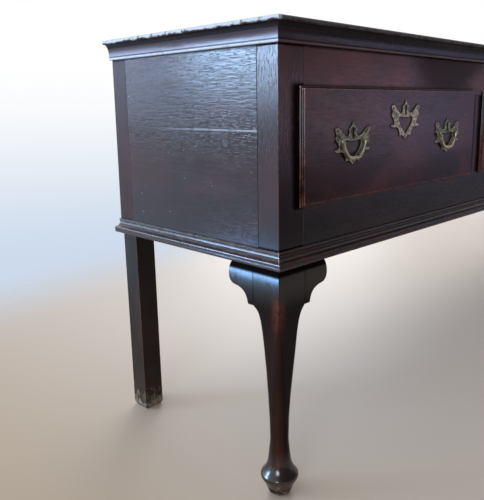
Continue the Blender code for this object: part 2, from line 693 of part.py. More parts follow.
def drawer_front_data():
    """Lipped front: block behind the case's face, lip, ovolo, fillet and flat field, with its keyhole."""
    rim = [(0.0, -GAP), (0.0, -LIP_EDGE)]
    rim += arc(OVOLO, -LIP_EDGE, -OVOLO, -OVOLO, 0, 90, 4)[1:]
    field_edge = OVOLO + FILLET
    rim += [(field_edge, -LIP_EDGE - OVOLO), (field_edge, -DRAWER_PROUD)]
    half = FRONT_WIDTH / 2
    low, high = BOX_LOW, FRONT_HEIGHT - LIP - DRAWER_PLAY
    rings = []
    for y in (FRONT_BLOCK, -GAP):
        rings.append([(-BOX_HALF, y, low), (BOX_HALF, y, low), (BOX_HALF, y, high), (-BOX_HALF, y, high)])
    for inset, y in rim:
        x, bottom, top = half - inset, inset, FRONT_HEIGHT - inset
        rings.append([(-x, y, bottom), (x, y, bottom), (x, y, top), (-x, y, top)])
    key = moved(prism([keyhole()], 2 * (DRAWER_PROUD + FRONT_BLOCK)), 0.0, DRAWER_PROUD + 2 * FRONT_BLOCK)
    moved(key, z=ESCUTCHEON_HEIGHT)
    joint = sockets(FRONT_BLOCK + GAP, FRONT_BLOCK - TAIL_LENGTH)
    return shared(loft(rings), "drawer_front", cuts=(joint, floor_cutter(), key))


def drawer_side_data(side):
    shape = prism([side_outline()], SIDE_THICKNESS, FACE_SIDE)
    moved(shape, -BOX_HALF if side < 0 else BOX_HALF - SIDE_THICKNESS)
    return shared(shape, "drawer_side", cuts=(floor_cutter(),))


def drawer_back_data():
    depth = (BOX_END - DRAWER_BACK, BOX_END)
    shape = box((-BOX_HALF, BOX_HALF), depth, (FLOOR_TOP + GAP, BOX_HIGH - BACK_BELOW_TOP))
    joint = sockets(BOX_END - DRAWER_BACK - GAP, BOX_END)
    return shared(shape, "drawer_back", cuts=(joint,))


def drawer_bottom_data():
    reach = BOX_HALF - SIDE_THICKNESS + BOTTOM_LAP
    depth = (FRONT_BLOCK - BOTTOM_LAP, BOX_END)
    return as_mesh(box((-reach, reach), depth, (BOX_LOW, FLOOR_TOP)), "drawer_bottom")


# Brass, in a frame whose origin is on the bail's axis, midway between the posts

def plate_shape():
    """Pierced plate with its back at y zero."""
    outer = mirrored([(u * MM, v * MM) for u, v in PLATE_HALF])
    shield = mirrored([(u * MM, v * MM) for u, v in SHIELD_HALF])
    u, v, radius = [value * MM for value in WING_HOLE]
    holes = [arc(side * u, v, radius, radius, 0, 315, 7) for side in (-1, 1)]
    return prism([outer, shield, keyhole(), *holes], PLATE_THICKNESS)


def handle_plate_data():
    """Plate with its two posts, each with a round head drilled for the bail's pin."""
    head = PLATE_THICKNESS + STUD_REACH
    root = PLATE_THICKNESS / 2
    meets = math.degrees(math.acos(STUD_NECK / STUD_HEAD))
    profile = arc(0.0, head, STUD_HEAD, STUD_HEAD, 90, -meets, 5)
    profile[0] = (0.0, head + STUD_HEAD)
    profile += [(STUD_NECK, head - STUD_HEAD), (STUD_COLLAR, PLATE_THICKNESS + PIN_RADIUS / 2)]
    profile += [(STUD_COLLAR, root), (0.0, root)]
    posts, holes = [], []
    drill = PIN_RADIUS + PIN_PLAY
    for side in (-1, 1):
        post = turned(profile, STUD_SIDES)
        bmesh.ops.transform(post, matrix=FACE_FRONT, verts=post.verts)
        posts.append(moved(post, side * BAIL_SPAN / 2))
        depth = 2 * STUD_HEAD
        hole = turned([(0.0, depth), (drill, depth), (drill, 0.0), (0.0, 0.0)], STUD_SIDES)
        bmesh.ops.transform(hole, matrix=Matrix.Rotation(math.radians(-90 * side), 4, "Y"), verts=hole.verts)
        holes.append(moved(hole, side * (BAIL_SPAN / 2 + STUD_HEAD / 3), -head))
    return shared(plate_shape(), "handle_plate", adds=posts, cuts=holes)


def bail_data():
    """Cast bail: a pin at each end, straight arms, and a curved drop that thickens to the grip."""
    pin_end = BAIL_SPAN / 2
    arm = BAIL_SPAN / 2 - STUD_HEAD - BAIL_ARM - GAP
    elbow = 2 * BAIL_ARM
    half = [(pin_end, 0.0), (arm + elbow / 2, 0.0), (arm + elbow / 8, -elbow / 6), (arm, -elbow)]
    for curve, steps in ((BAIL_ARM_CURVE, 2), (BAIL_DROP_CURVE, BAIL_STEPS)):
        half += bezier(half[-1], *[(u * arm, -v * BAIL_DROP) for u, v in curve], steps)
    path = half + [(-u, v) for u, v in reversed(half)]
    curve = bpy.data.curves.new("bail", "CURVE")
    curve.dimensions = "3D"
    curve.bevel_depth = BAIL_ARM
    curve.bevel_resolution = 2
    curve.use_fill_caps = True
    spline = curve.splines.new("POLY")
    spline.points.add(len(path) - 1)
    for point, (u, v) in zip(spline.points, path):
        point.co = (u, 0.0, v, 1.0)
        swell = max(0.0, -v / BAIL_DROP - 0.5) * 2
        radius = PIN_RADIUS if v == 0.0 else BAIL_ARM + (BAIL_GRIP - BAIL_ARM) * swell
        point.radius = radius / BAIL_ARM
    guide = bpy.data.objects.new("bail", curve)
    CUTTERS.objects.link(guide)
    return as_mesh(evaluated_shape(guide), "bail")


def build():
    top_board()
    moulding("cornice", cornice_profile())
    moulding("base_moulding", base_profile())
    legs = []
    for side, word in ((-1, "left"), (1, "right")):
        legs.append(front_leg(word, side))
        ears(word, side)
        rear_leg(word, side)
        end_boards(word, side)
    top_rail = rail("front_top_rail", OPENING_TOP, CASE_TOP - GAP, legs)
    bottom_rail = rail("front_bottom_rail", CASE_BOTTOM, OPENING_BOTTOM, legs)
    for word, x in divisions():
        muntin(word, x, (top_rail, bottom_rail))
    back_board()
    runners_and_kickers()

    wood = {
        "front": (drawer_front_data(), DRAWER_OAK),
        "side_left": (drawer_side_data(-1), INNER_OAK),
        "side_right": (drawer_side_data(1), INNER_OAK),
        "back": (drawer_back_data(), INNER_OAK),
        "bottom": (drawer_bottom_data(), INNER_OAK),
    }
    plate, bail = handle_plate_data(), bail_data()
    escutcheon = as_mesh(plate_shape(), "escutcheon")
    for k, word in enumerate(DRAWER_NAMES):
        drawer = bpy.data.objects.new("drawer_" + word, None)
        PARTS.objects.link(drawer)
        drawer.location = ((k - len(DIVISION_NAMES) / 2) * DRAWER_PITCH, FRONT, DRAWER_BASE)
        for piece, (data, finish) in wood.items():
            part("drawer_" + word + "_" + piece, data, finish, drawer)
        seat = -DRAWER_PROUD - GAP
        part("escutcheon_" + word, escutcheon, BRASS, drawer, (0.0, seat, ESCUTCHEON_HEIGHT))
        for side, hand in ((-1, "left"), (1, "right")):
            name = word + "_" + hand
            x = side * HANDLE_SPREAD / 2
            part("handle_plate_" + name, plate, BRASS, drawer, (x, seat, PIVOT_HEIGHT))
            axis = -PLATE_FACE - STUD_REACH
            part("bail_" + name, bail, BRASS, drawer, (x, axis, PIVOT_HEIGHT))


build()
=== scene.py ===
"""Looks of the oak dresser base: waxed dark oak, dry inner timber and old brass, in soft window light."""

import math

import bmesh
import bpy
from mathutils import Matrix, Vector


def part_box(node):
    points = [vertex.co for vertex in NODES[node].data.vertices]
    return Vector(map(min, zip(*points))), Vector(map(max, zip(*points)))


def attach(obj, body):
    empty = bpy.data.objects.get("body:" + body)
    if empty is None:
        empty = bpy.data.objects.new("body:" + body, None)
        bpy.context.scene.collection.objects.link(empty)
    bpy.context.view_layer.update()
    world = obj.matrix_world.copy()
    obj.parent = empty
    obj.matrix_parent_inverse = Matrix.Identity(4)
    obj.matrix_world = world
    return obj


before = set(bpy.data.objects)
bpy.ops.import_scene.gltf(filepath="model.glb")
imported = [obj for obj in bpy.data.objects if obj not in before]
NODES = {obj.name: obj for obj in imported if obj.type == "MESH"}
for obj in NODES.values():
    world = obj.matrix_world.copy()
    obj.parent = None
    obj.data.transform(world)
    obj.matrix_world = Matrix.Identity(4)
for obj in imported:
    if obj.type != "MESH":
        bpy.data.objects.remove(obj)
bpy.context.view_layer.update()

# Camera, found from the straight edges in the photograph
CAMERA_PLACE = (-1.7564, -0.8679, 0.6864)
CAMERA_YAW = 45.547
CAMERA_PITCH = -11.212
CAMERA_ROLL = -0.619
CAMERA_LENS = 42.48
CAMERA_SHIFT = (-0.0366, -0.0539)

# Heights on the dresser above the floor, in metres
PAD_TOP = 0.05
KNEE_FOOT = 0.335
LEG_TOP = 0.4187
BASE_NOSE = 0.4316
LIP_FOOT = 0.5160
HANDLE_HEIGHT = 0.6224
BOARD_JOINT = 0.6458
ESCUTCHEON_HEIGHT = 0.6608
LIP_TOP = 0.7186
BEAD_FOOT = 0.7830
COVE_FOOT = 0.7890
NOSE_FOOT = 0.8152

# Other measures in metres: along and across from the middle, and up from the middle of a brass plate
CASE_HALF = 1.0558
CASE_FRONT = -0.2228
DRAWER_PITCH = 0.6885
LIP_HALF = 0.31675
HANDLE_OUT = 0.1785
HANDLE_POST_OUT = 0.0385
KEYHOLE_RISE = 0.0156

# Colours, as linear red, green and blue
WHITE = (1.0, 1.0, 1.0)
DARK_OAK = (0.0220, 0.0065, 0.0080)
WARM_OAK = (0.090, 0.0155, 0.0150)
WORN_OAK = (0.24, 0.095, 0.060)
PALE_FLECK = (0.42, 0.45, 0.52)
# Painted shade, near black, for closed corners and painted shadow bands
PAINTED_SHADE = (0.003, 0.002, 0.002)

# Scales of the patterns in waxed oak, and the share that draws them out along the grain
PATCH_SCALE = 8.0
STREAK_SCALE = 45.0
MOTTLE_SCALE = 60.0
PORE_SCALE = 520.0
GRAIN_SHARE = 0.13

# Joints between the planks of the top, from front to back, and of the back, in height
TOP_JOINTS = (0.035,)
BACK_JOINTS = (0.547, 0.671)

# Windows and the lit floor beside the end: name, place, target, power, colour, width and height
WINDOWS = (
    ("left_window", (-4.0, 2.6, 1.39), (-1.05, 0.0, 0.9), 56.0, (0.44, 0.67, 1.0), (1.3, 0.48)),
    ("left_window_low", (-4.0, 2.6, 0.96), (-1.05, 0.0, 0.7), 19.0, (0.44, 0.67, 1.0), (1.3, 0.38)),
    ("far_window", (-3.15, 3.65, 1.42), (-1.05, 0.1, 0.9), 8.0, (0.44, 0.64, 1.0), (1.0, 0.42)),
    ("far_window_low", (-3.15, 3.65, 0.90), (-1.05, 0.1, 0.7), 5.4, (0.44, 0.64, 1.0), (1.0, 0.60)),
    ("near_window", (-4.0, -1.75, 1.20), (-1.0, -0.2, 0.6), 36.0, (0.80, 0.90, 1.0), (1.1, 0.9)),
    ("floor_patch", (-2.01, 0.80, 0.03), (-2.011, 0.80, 1.0), 7.2, (0.27, 0.55, 1.0), (0.56, 0.17)),
    ("back_window", (2.4, 2.8, 1.3), (0.3, 0.2, 0.0), 54.0, (0.90, 0.95, 1.0), (1.8, 1.2)),
)

# Look of a CAD node by the start of its name, and width of its rounded edges; the first row that fits counts
NODE_LOOKS = (
    ("bail", "bail", 0.0003),
    ("handle_plate", "plate", 0.0006),
    ("escutcheon", "escutcheon", 0.0006),
    ("runner", "inner_y", 0.0008),
    ("kicker", "inner_y", 0.0008),
    ("back_board", "back", 0.0008),
    ("rear_leg", "rear_leg", 0.0012),
    ("front_leg", "leg", 0.0010),
    ("ear", "leg", 0.0006),
    ("muntin", "muntin", 0.0006),
    ("end_board", "end", 0.0008),
    ("cornice_front", "front_cove", 0.00015),
    ("cornice", "side_cove", 0.00015),
    ("base_moulding_front", "front_moulding", 0.00015),
    ("base_moulding", "side_moulding", 0.00015),
    ("top_board", "top", 0.00015),
    ("front_bottom_rail", "low_rail", 0.0006),
    ("front_top_rail", "rail", 0.0006),
)

# The same for the boards of a drawer, by a word in the name
DRAWER_LOOKS = (
    ("_front", "front", 0.0008),
    ("_side", "inner_y", 0.0006),
    ("_back", "inner_x", 0.0006),
    ("_bottom", "inner_x", 0.0006),
)

# Rounding and smoothing of the CAD nodes
EDGE_SEGMENTS = 2
EDGE_ANGLE = 32.0
FLAT_ANGLE = 0.5
WELD_DISTANCE = 0.00001

# Boxes of a lock: half width, then from and to behind the drawer front, then from and to in height
LOCK_BOXES = (
    (0.042, 0.0, 0.0022, 0.6450, 0.7020),
    (0.033, 0.0018, 0.0120, 0.6490, 0.6985),
    (0.010, 0.0035, 0.0085, 0.6980, 0.7026),
)
SCREW_OUT = 0.0375
SCREW_HEIGHTS = (0.6500, 0.6970)
SCREW_DEPTH = 0.0020
SCREW_SIZE = (0.0026, 0.0011)
KEY_PIN_DEPTH = 0.0115
KEY_PIN_HEIGHT = 0.6740
KEY_PIN_SIZE = (0.0040, 0.0016)

# Nuts of the handles, and the ends of the posts that stand out of them
NUT_HALF = 0.0055
NUT_THICK = 0.0030
POST_END_DEPTH = 0.0025
POST_END_SIZE = (0.0022, 0.0045)

# Edges of these fittings, and the rings of a domed stud: share of the radius, share of the length
FITTING_EDGE = 0.0005
FITTING_ANGLE = 30.0
STUD_SIDES = 16
STUD_RINGS = ((1.0, 0.0), (1.0, 0.7), (0.8, 0.92), (0.4, 1.0))


# Node trees and materials

class Graph:
    """A node tree, with short names for the steps that are used here."""

    def __init__(self, tree):
        self.tree = tree

    def feed(self, target, value):
        """Links an input to a socket, or sets it to a plain value."""
        if isinstance(value, bpy.types.NodeSocket):
            self.tree.links.new(value, target)
        else:
            target.default_value = value

    def add(self, kind, inputs=None, **settings):
        """A new node with its settings, and its inputs either linked or set."""
        node = self.tree.nodes.new(kind)
        for key, value in settings.items():
            setattr(node, key, value)
        for key, value in (inputs or {}).items():
            self.feed(node.inputs[key], value)
        return node

    def noise(self, vector, scale, detail, roughness, distortion=0.0):
        inputs = {"Vector": vector, "Scale": scale, "Detail": detail, "Roughness": roughness}
        inputs["Distortion"] = distortion
        return self.add("ShaderNodeTexNoise", inputs).outputs["Fac"]

    def spread(self, value, low, high, to_low, to_high):
        """Maps a value smoothly from one range to another."""
        inputs = {"Value": value, "From Min": low, "From Max": high, "To Min": to_low, "To Max": to_high}
        return self.add("ShaderNodeMapRange", inputs, interpolation_type="SMOOTHSTEP").outputs["Result"]

    def rise(self, value, low, high, top=1.0):
        return self.spread(value, low, high, 0.0, top)

    def fall(self, value, low, high, top=1.0):
        return self.spread(value, low, high, top, 0.0)

    def between(self, value, low, high, top=1.0):
        """Rises over the first range and falls over the second."""
        return self.times(self.rise(value, *low), self.fall(value, *high, top))

    def ragged(self, value, pattern, less, more):
        """A height or distance made uneven by a pattern."""
        return self.plus(value, self.spread(pattern, 0.3, 0.7, -less, more))

    def number(self, operation, *values):
        return self.add("ShaderNodeMath", dict(enumerate(values)), operation=operation).outputs[0]

    def plus(self, first, second):
        return self.number("ADD", first, second)

    def minus(self, first, second):
        return self.number("SUBTRACT", first, second)

    def times(self, first, *others):
        for other in others:
            first = self.number("MULTIPLY", first, other)
        return first

    def most(self, first, *others):
        for other in others:
            first = self.number("MAXIMUM", first, other)
        return first

    def size(self, value):
        return self.number("ABSOLUTE", value)

    def off(self, value, mark):
        """Distance of a value from a mark."""
        return self.size(self.minus(value, mark))

    def vector(self, operation, *values):
        """A vector, or a number where the operation measures one."""
        node = self.add("ShaderNodeVectorMath", dict(enumerate(values)), operation=operation)
        return node.outputs["Value" if operation in ("LENGTH", "DISTANCE", "DOT_PRODUCT") else "Vector"]

    def mix(self, share, first, second):
        """One colour over another; a colour is a socket or three numbers."""
        node = self.add("ShaderNodeMix", {0: share}, data_type="RGBA")
        for index, colour in ((6, first), (7, second)):
            linked = isinstance(colour, bpy.types.NodeSocket)
            self.feed(node.inputs[index], colour if linked else (*colour, 1.0))
        return node.outputs[2]


class Look(Graph):
    """A material whose colour is laid on in layers."""

    def __init__(self, name):
        self.material = bpy.data.materials.new(name)
        self.material.use_nodes = True
        super().__init__(self.material.node_tree)
        self.shader = self.tree.nodes["Principled BSDF"]
        self.place = self.add("ShaderNodeTexCoord").outputs["Object"]
        self.x, self.y, self.z = self.add("ShaderNodeSeparateXYZ", {0: self.place}).outputs
        self.colour = None

    def lay(self, share, colour):
        """Lays a colour over what is there so far."""
        self.colour = self.mix(share, self.colour, colour)

    def edges(self, radius, full=0.16):
        """One near an outer or inner edge, zero on the flat."""
        bevel = self.add("ShaderNodeBevel", {"Radius": radius}, samples=4).outputs[0]
        normal = self.add("ShaderNodeNewGeometry").outputs["Normal"]
        return self.rise(self.minus(1.0, self.vector("DOT_PRODUCT", bevel, normal)), 0.01, full)

    def corners(self, distance, low, high, strength):
        """Strength in closed corners, zero in the open."""
        closed = self.add("ShaderNodeAmbientOcclusion", {"Distance": distance}, samples=6).outputs["AO"]
        return self.fall(closed, low, high, strength)

    def beside(self, out):
        """Distance along the front from the nearest upright line that stands off a drawer's middle by out."""
        half = 0.5 * DRAWER_PITCH
        inside = self.size(self.number("WRAP", self.x, half, -half))
        return self.off(inside, out) if out else inside

    def surface(self, rough, strength, distance, height):
        """Links the colour, the roughness and the relief to the shader."""
        bump = self.add("ShaderNodeBump", {"Strength": strength, "Distance": distance, "Height": height})
        self.feed(self.shader.inputs["Base Color"], self.colour)
        self.feed(self.shader.inputs["Roughness"], rough)
        self.feed(self.shader.inputs["Normal"], bump.outputs[0])
        return self.material


class Timber(Look):
    """A material with the grain of one timber, or of planks that lie side by side."""

    def __init__(self, name, grain, seed, planks=None):
        super().__init__(name)
        self.grain = grain
        self.plain = self.vector("ADD", self.place, (seed, 1.7 * seed, 2.3 * seed))
        self.seam = None
        if planks:
            axis, marks = planks
            self.part({"y": self.y, "z": self.z}[axis], marks)

    def part(self, value, marks):
        """Shifts the pattern from plank to plank, with a line at each joint."""
        for mark in marks:
            past = self.number("GREATER_THAN", value, mark)
            step = {"X": self.times(past, 3.7), "Y": self.times(past, 1.9)}
            self.plain = self.vector("ADD", self.plain, self.add("ShaderNodeCombineXYZ", step).outputs[0])
            line = self.fall(self.off(value, mark), 0.0006, 0.0018)
            self.seam = self.most(self.seam, line) if self.seam else line

    def drawn(self, share):
        """Coordinates that draw a pattern out along the grain."""
        return self.vector("MULTIPLY", self.plain, [share if axis == self.grain else 1.0 for axis in "xyz"])


class Oak(Timber):
    """Dark waxed oak: streaks along the grain, pores and red patches, and what wear, dirt, painted shade and
    painted highlights add to them.
    """

    def __init__(self, name, grain, seed, dark, warm, reds=(0.42, 0.66), coarse=1.0, wavy=0.4,
                 fine=310.0, crisp=3.0, clouds=0.61, planks=None):
        super().__init__(name, grain, seed, planks)
        self.dark, self.coarse, self.wavy = dark, coarse, wavy
        self.shade_share = None
        facing = self.add("ShaderNodeNewGeometry").outputs["Normal"]
        normal = self.add("ShaderNodeSeparateXYZ", {0: facing}).outputs
        self.turned = self.size(normal["X"])
        self.backward = normal["Y"]
        self.sideways = self.size(self.x)
        along = self.drawn(GRAIN_SHARE)
        self.patch = self.noise(self.drawn(clouds), PATCH_SCALE, 4.0, 0.55, 0.3)
        self.streak = self.noise(along, STREAK_SCALE, 4.0, 0.6, 0.4)
        self.lines = self.noise(along, fine, crisp, 0.6, wavy)
        self.pores = self.rise(self.noise(along, PORE_SCALE, 2.0, 0.5), 0.56, 0.66)
        self.mottle = self.noise(self.plain, MOTTLE_SCALE, 5.0, 0.65)
        self.red = self.times(self.rise(self.patch, *reds), self.spread(self.streak, 0.30, 0.62, 0.75, 1.0))
        self.colour = self.mix(self.red, dark, warm)

    def lay_oak(self, share, dark, warm):
        """Lays on other tones of oak, in the same red patches."""
        self.lay(share, self.mix(self.red, dark, warm))

    def lay_above_leg(self, dark, warm):
        """Gives the post over a leg its own tones."""
        self.lay_oak(self.rise(self.z, LEG_TOP, LEG_TOP + 0.004), dark, warm)

    def lay_grain(self):
        """Darkens the fine lines and the pores."""
        deep = [value * 0.35 for value in self.dark]
        self.lay(self.rise(self.lines, 0.48, 0.70, 0.30 * self.coarse), deep)
        self.lay(self.times(self.pores, 0.4 * self.coarse), deep)

    def broken(self):
        """Uneven shares, for wear that comes and goes along an edge."""
        return self.rise(self.mottle, 0.30, 0.58)

    def wear_edges(self, colour, radius=0.0030, share=None):
        self.lay(self.times(self.edges(radius), share or self.broken()), colour)

    def lay_flecks(self, share):
        """Pale flecks, drawn out from front to back."""
        flat = self.vector("MULTIPLY", self.plain, (1.0, 0.55, 1.0))
        self.lay(self.rise(self.noise(flat, 130.0, 3.0, 0.6), 0.69, 0.76, share), PALE_FLECK)

    def lay_bead(self, colour):
        """The bead under the cove, lighter from wear and a painted highlight, and painted shade in the gap
        over it.
        """
        bead = self.between(self.z, (BEAD_FOOT, BEAD_FOOT + 0.0012), (COVE_FOOT - 0.0016, COVE_FOOT - 0.0004))
        self.lay(self.times(bead, self.spread(self.mottle, 0.30, 0.50, 0.5, 1.0)), colour)
        # Painted shade in the gap over the bead
        self.lay(self.fall(self.off(self.z, COVE_FOOT + 0.0004), 0.0004, 0.0012, 0.9), (0.004, 0.003, 0.004))

    def lip_shadow(self, out):
        """A painted shadow on the front along the end of a drawer's lip."""
        off = self.ragged(self.off(self.sideways, out), self.mottle, 0.0015, 0.0015)
        band = self.times(self.fall(off, 0.007, 0.029), self.fall(self.turned, 0.3, 0.6))
        below = self.fall(self.z, LIP_TOP - 0.002, LIP_TOP + 0.010)
        return self.times(band, below, self.rise(self.z, LIP_FOOT - 0.010, LIP_FOOT + 0.002))

    def lay_painted_shade(self, distance=0.006, closed=(0.55, 0.97), shadow_bands=()):
        """Painted shade: black in closed corners, and in the painted shadow bands that are given."""
        self.shade_share = self.most(self.corners(distance, *closed, 1.0), *shadow_bands)
        self.lay(self.times(self.shade_share, 0.85), PAINTED_SHADE)

    def lay_scuffs(self, height):
        """Pale scuffs round the foot of a leg."""
        ragged = self.ragged(self.z, self.noise(self.plain, 70.0, 5.0, 0.7), height, height)
        scuffed = self.mix(self.rise(self.mottle, 0.46, 0.60), (0.10, 0.085, 0.062), (0.34, 0.30, 0.235))
        self.lay(self.fall(ragged, 0.3 * height, 1.5 * height, 0.85), scuffed)

    def finish(self, gloss=0.20, shine=0.5, shares=None, shaded_shine=0.12, rougher=(), strength=None):
        """The wax over the colour; where shares are given, they and the painted shade take from its shine."""
        self.shader.inputs["Specular IOR Level"].default_value = shine
        if shares is not None:
            polish = self.spread(self.shade_share, 0.0, 1.0, shine, shaded_shine * shine)
            self.feed(self.shader.inputs["Specular IOR Level"], self.times(polish, *shares))
        uneven = self.plus(self.times(self.streak, 0.7), self.lines)
        rough = self.spread(uneven, 0.60, 1.15, gloss, gloss + 0.16 * self.coarse)
        for more in (*rougher, self.times(self.shade_share, 0.35)):
            rough = self.plus(rough, more)
        ridges = self.plus(self.lines, self.times(self.streak, self.wavy))
        relief = self.minus(ridges, self.times(self.pores, 0.5))
        return self.surface(rough, strength or 0.12 * self.coarse, 0.0009, relief)


# Waxed oak of each kind of piece

def plain_oak(name, grain, seed, dark, warm, coarse=1.0):
    """Oak with no more than wear on its edges and painted shade in the corners."""
    wood = Oak(name, grain, seed, dark, warm, coarse=coarse)
    wood.lay_grain()
    wood.wear_edges(WORN_OAK)
    # Painted shade in the closed corners
    wood.lay_painted_shade()
    return wood.finish()


def rail_oak():
    """The rail over the drawers, with a dull brown stain."""
    wood = Oak("rail_oak", "x", 0.4, dark=(0.084, 0.023, 0.019), warm=(0.178, 0.038, 0.027),
               reds=(0.42, 0.64), coarse=0.6)
    middle = (-0.47, 0.0, 0.765)
    off = wood.vector("MULTIPLY", wood.vector("SUBTRACT", wood.place, middle), (1.0, 0.0, 2.2))
    stain = wood.fall(wood.ragged(wood.vector("LENGTH", off), wood.patch, 0.05, 0.05), 0.03, 0.25, 0.9)
    wood.lay(stain, (0.034, 0.017, 0.011))
    wood.lay_grain()
    wood.wear_edges(WORN_OAK)
    # Painted shade in the closed corners
    wood.lay_painted_shade()
    return wood.finish(shares=[wood.spread(stain, 0.0, 0.9, 1.0, 0.18)])


def drawer_oak():
    """Drawer fronts: dark behind the handles, darker and duller at the foot as painted shade, and pale at the
    upper ends of the lip from wear and a painted highlight.
    """
    wood = Oak("drawer_oak", "x", 4.1, dark=(0.032, 0.0085, 0.0070), warm=(0.098, 0.021, 0.0145),
               reds=(0.40, 0.63), coarse=0.6)
    handle = {"X": wood.beside(HANDLE_OUT), "Y": wood.minus(wood.z, HANDLE_HEIGHT)}
    near = wood.vector("LENGTH", wood.add("ShaderNodeCombineXYZ", handle).outputs[0])
    near = wood.ragged(near, wood.mottle, 0.008, 0.008)
    wood.lay(wood.fall(near, 0.022, 0.058, 0.6), (0.010, 0.007, 0.011))
    # Painted shade: darker and duller towards the foot of the front
    low = wood.fall(wood.ragged(wood.z, wood.patch, 0.02, 0.02), LIP_FOOT, LIP_FOOT + 0.13, 0.65)
    wood.lay_oak(low, (0.015, 0.004, 0.005), (0.070, 0.009, 0.010))
    wood.lay_grain()
    # Wear on the edges of the lip; on its end faces high up a pale bluish white that is a painted highlight
    ends = wood.times(wood.rise(wood.turned, 0.2, 0.6), wood.rise(wood.z, 0.56, 0.66))
    keyhole = wood.off(wood.z, ESCUTCHEON_HEIGHT + KEYHOLE_RISE)
    clear = wood.most(wood.rise(wood.beside(0.0), 0.006, 0.012), wood.rise(keyhole, 0.012, 0.016))
    worn_and_lit = wood.mix(ends, (0.58, 0.27, 0.21), (0.80, 0.84, 0.88))
    wood.wear_edges(worn_and_lit, share=wood.times(wood.most(wood.broken(), ends), clear))
    # Painted shade in the closed corners
    wood.lay_painted_shade(wood.spread(wood.turned, 0.2, 0.5, 0.010, 0.0015), (0.62, 0.97))
    return wood.finish(shares=[wood.spread(low, 0.0, 0.65, 1.0, 0.6)])


def muntin_oak():
    """The uprights between the drawers, with a painted shadow along the lips."""
    wood = Oak("muntin_oak", "z", 0.4, DARK_OAK, WARM_OAK, coarse=0.6)
    wood.lay_grain()
    wood.wear_edges(WORN_OAK)
    # Painted shadow along the ends of the drawer lips, and painted shade in the closed corners
    shadow_bands = [wood.lip_shadow(out) for out in (LIP_HALF, DRAWER_PITCH - LIP_HALF)]
    wood.lay_painted_shade(0.035, (0.84, 0.99), shadow_bands)
    return wood.finish(shares=[])


def leg_oak():
    """Front legs, posts and ears: a brown shank, wear on the knee, scuffs at the foot, pale edges on the post
    that are partly painted highlight, and painted shade.
    """
    wood = Oak("leg_oak", "z", 2.2, dark=(0.006, 0.003, 0.003), warm=(0.026, 0.006, 0.005),
               coarse=0.22, wavy=0.1)
    # Tones of the post and the shank, painted shade lower on the front of the post, and redder tones higher
    # on its front
    wood.lay_above_leg((0.014, 0.009, 0.014), (0.044, 0.015, 0.019))
    shank = wood.between(wood.z, (PAD_TOP, 0.08), (0.27, 0.34), 0.85)
    wood.lay_oak(shank, (0.019, 0.0085, 0.0078), (0.032, 0.0115, 0.0100))
    # Painted shade: the front faces of the post darker lower down
    shaded_low_front = wood.times(wood.fall(wood.turned, 0.3, 0.6, 0.7), wood.fall(wood.z, 0.50, 0.66))
    wood.lay(shaded_low_front, (0.006, 0.004, 0.005))
    high_front = wood.times(wood.fall(wood.turned, 0.3, 0.6), wood.rise(wood.z, 0.60, 0.77))
    wood.lay_oak(high_front, (0.060, 0.023, 0.023), (0.105, 0.031, 0.028))
    wood.lay_grain()

    # Pale edges high on the post, wear with a painted highlight; brown ones low on it; painted shade; and
    # scuffs
    # Painted highlight: bluish white on the worn edges high on the post
    pale = wood.times(wood.edges(0.0016), wood.rise(wood.z, 0.56, 0.70), wood.rise(wood.mottle, 0.38, 0.54))
    wood.lay(pale, (0.66, 0.80, 0.92))
    brown = wood.times(wood.edges(0.0020), wood.fall(wood.z, 0.54, 0.64, 0.8))
    wood.lay(wood.times(brown, wood.rise(wood.z, LEG_TOP, LEG_TOP + 0.004)), (0.26, 0.105, 0.070))
    # Painted shade on the tops of the ears and block under the base moulding, painted shade in corners, and a
    # painted shadow along a drawer's lip
    shade_under_moulding = wood.between(wood.z, (LEG_TOP - 0.021, LEG_TOP - 0.013), (LEG_TOP, LEG_TOP + 0.001))
    reach = wood.spread(wood.z, LEG_TOP, LEG_TOP + 0.001, 0.016, 0.004)
    wood.lay_painted_shade(reach, (0.84, 0.99), [wood.lip_shadow(DRAWER_PITCH + LIP_HALF), shade_under_moulding])
    wood.lay_scuffs(0.016)

    # Wear on the front corners of the leg and on the knee
    corner = wood.minus(wood.turned, wood.backward)
    rub = wood.times(wood.rise(corner, 1.05, 1.40), wood.rise(wood.patch, 0.34, 0.56, 0.14))
    away = wood.plus(wood.minus(CASE_HALF, wood.sideways), wood.minus(wood.y, CASE_FRONT))
    knee = wood.times(wood.fall(away, 0.002, 0.024), wood.fall(wood.z, 0.345, 0.388))
    knee = wood.times(knee, wood.rise(wood.z, 0.275, KNEE_FOOT, 0.6))
    knee = wood.times(knee, wood.spread(wood.mottle, 0.34, 0.56, 0.3, 1.0))
    wood.lay(wood.most(rub, knee), (0.16, 0.042, 0.024))

    # Little shine on the shank, and a rougher post and foot
    wax = wood.spread(wood.z, KNEE_FOOT, 0.385, 0.22, 1.0)
    wax = wood.most(wax, wood.spread(wood.z, PAD_TOP, 0.09, 1.7, 0.22))
    rougher = [wood.rise(wood.z, LEG_TOP, 0.45, 0.09), wood.fall(wood.z, 0.09, 0.14, 0.12)]
    strength = wood.spread(wood.z, 0.43, 0.72, 0.0264, 0.33)
    return wood.finish(gloss=0.06, shares=[wax], shaded_shine=0.02, rougher=rougher, strength=strength)


def rear_leg_oak():
    """Rear legs and their posts, dull and scuffed."""
    wood = Oak("rear_leg_oak", "z", 5.2, dark=(0.011, 0.006, 0.005), warm=(0.028, 0.013, 0.010))
    wood.lay_above_leg((0.028, 0.010, 0.016), (0.052, 0.014, 0.018))
    wood.lay_grain()
    wood.wear_edges(WORN_OAK)
    # Painted shade in the closed corners
    wood.lay_painted_shade()
    wood.lay_scuffs(0.026)
    return wood.finish(gloss=0.30, shine=0.26)


